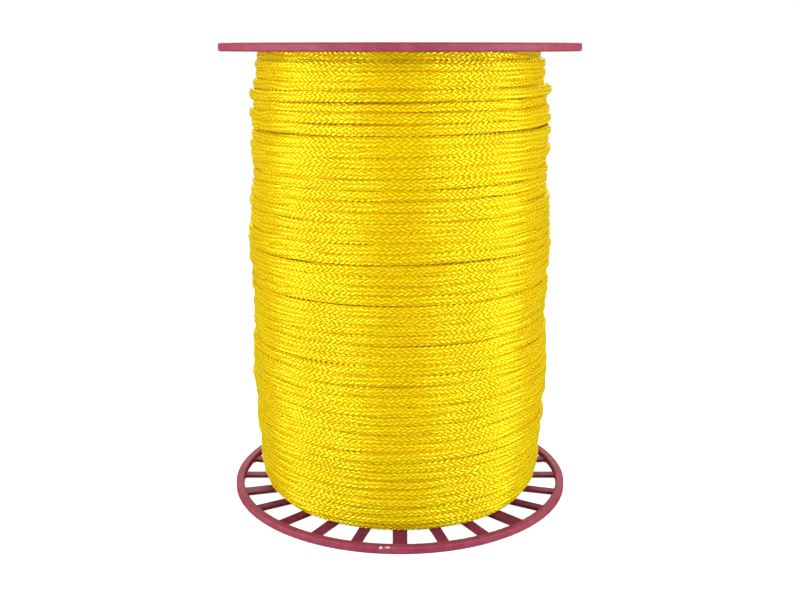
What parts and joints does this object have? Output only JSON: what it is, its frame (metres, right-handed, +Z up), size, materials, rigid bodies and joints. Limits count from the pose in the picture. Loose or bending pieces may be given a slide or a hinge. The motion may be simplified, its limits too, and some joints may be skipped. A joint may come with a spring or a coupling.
{
  "type": "rope spool",
  "caption": "Tall spool of braided yellow rope wound in level turns on a board core tube between two spoked plastic flanges, each with a hub bore for a spindle.",
  "frame": {"origin": "centre of the lower flange's outer face, on the spool's axis", "axes": "+Z up along the spool's axis towards the upper flange, -Y towards the camera of the picture, +X to its right"},
  "size_m": [0.2, 0.2, 0.26],
  "materials": {
    "flange_plastic": "satin moulded polypropylene, maroon",
    "tube_board": "spiral-wound grey-brown fibre board",
    "staple_wire": "copper-washed flat steel wire",
    "braided_rope": "braided glossy polypropylene filament, bright yellow"
  },
  "bodies": {
    "root": {"lower_flange": "flange_plastic", "upper_flange": "flange_plastic", "core_tube": "tube_board", "lower_staples": "staple_wire", "upper_staples": "staple_wire", "rope_winding": "braided_rope", "rope_start": "braided_rope"}
  },
  "joints": []
}
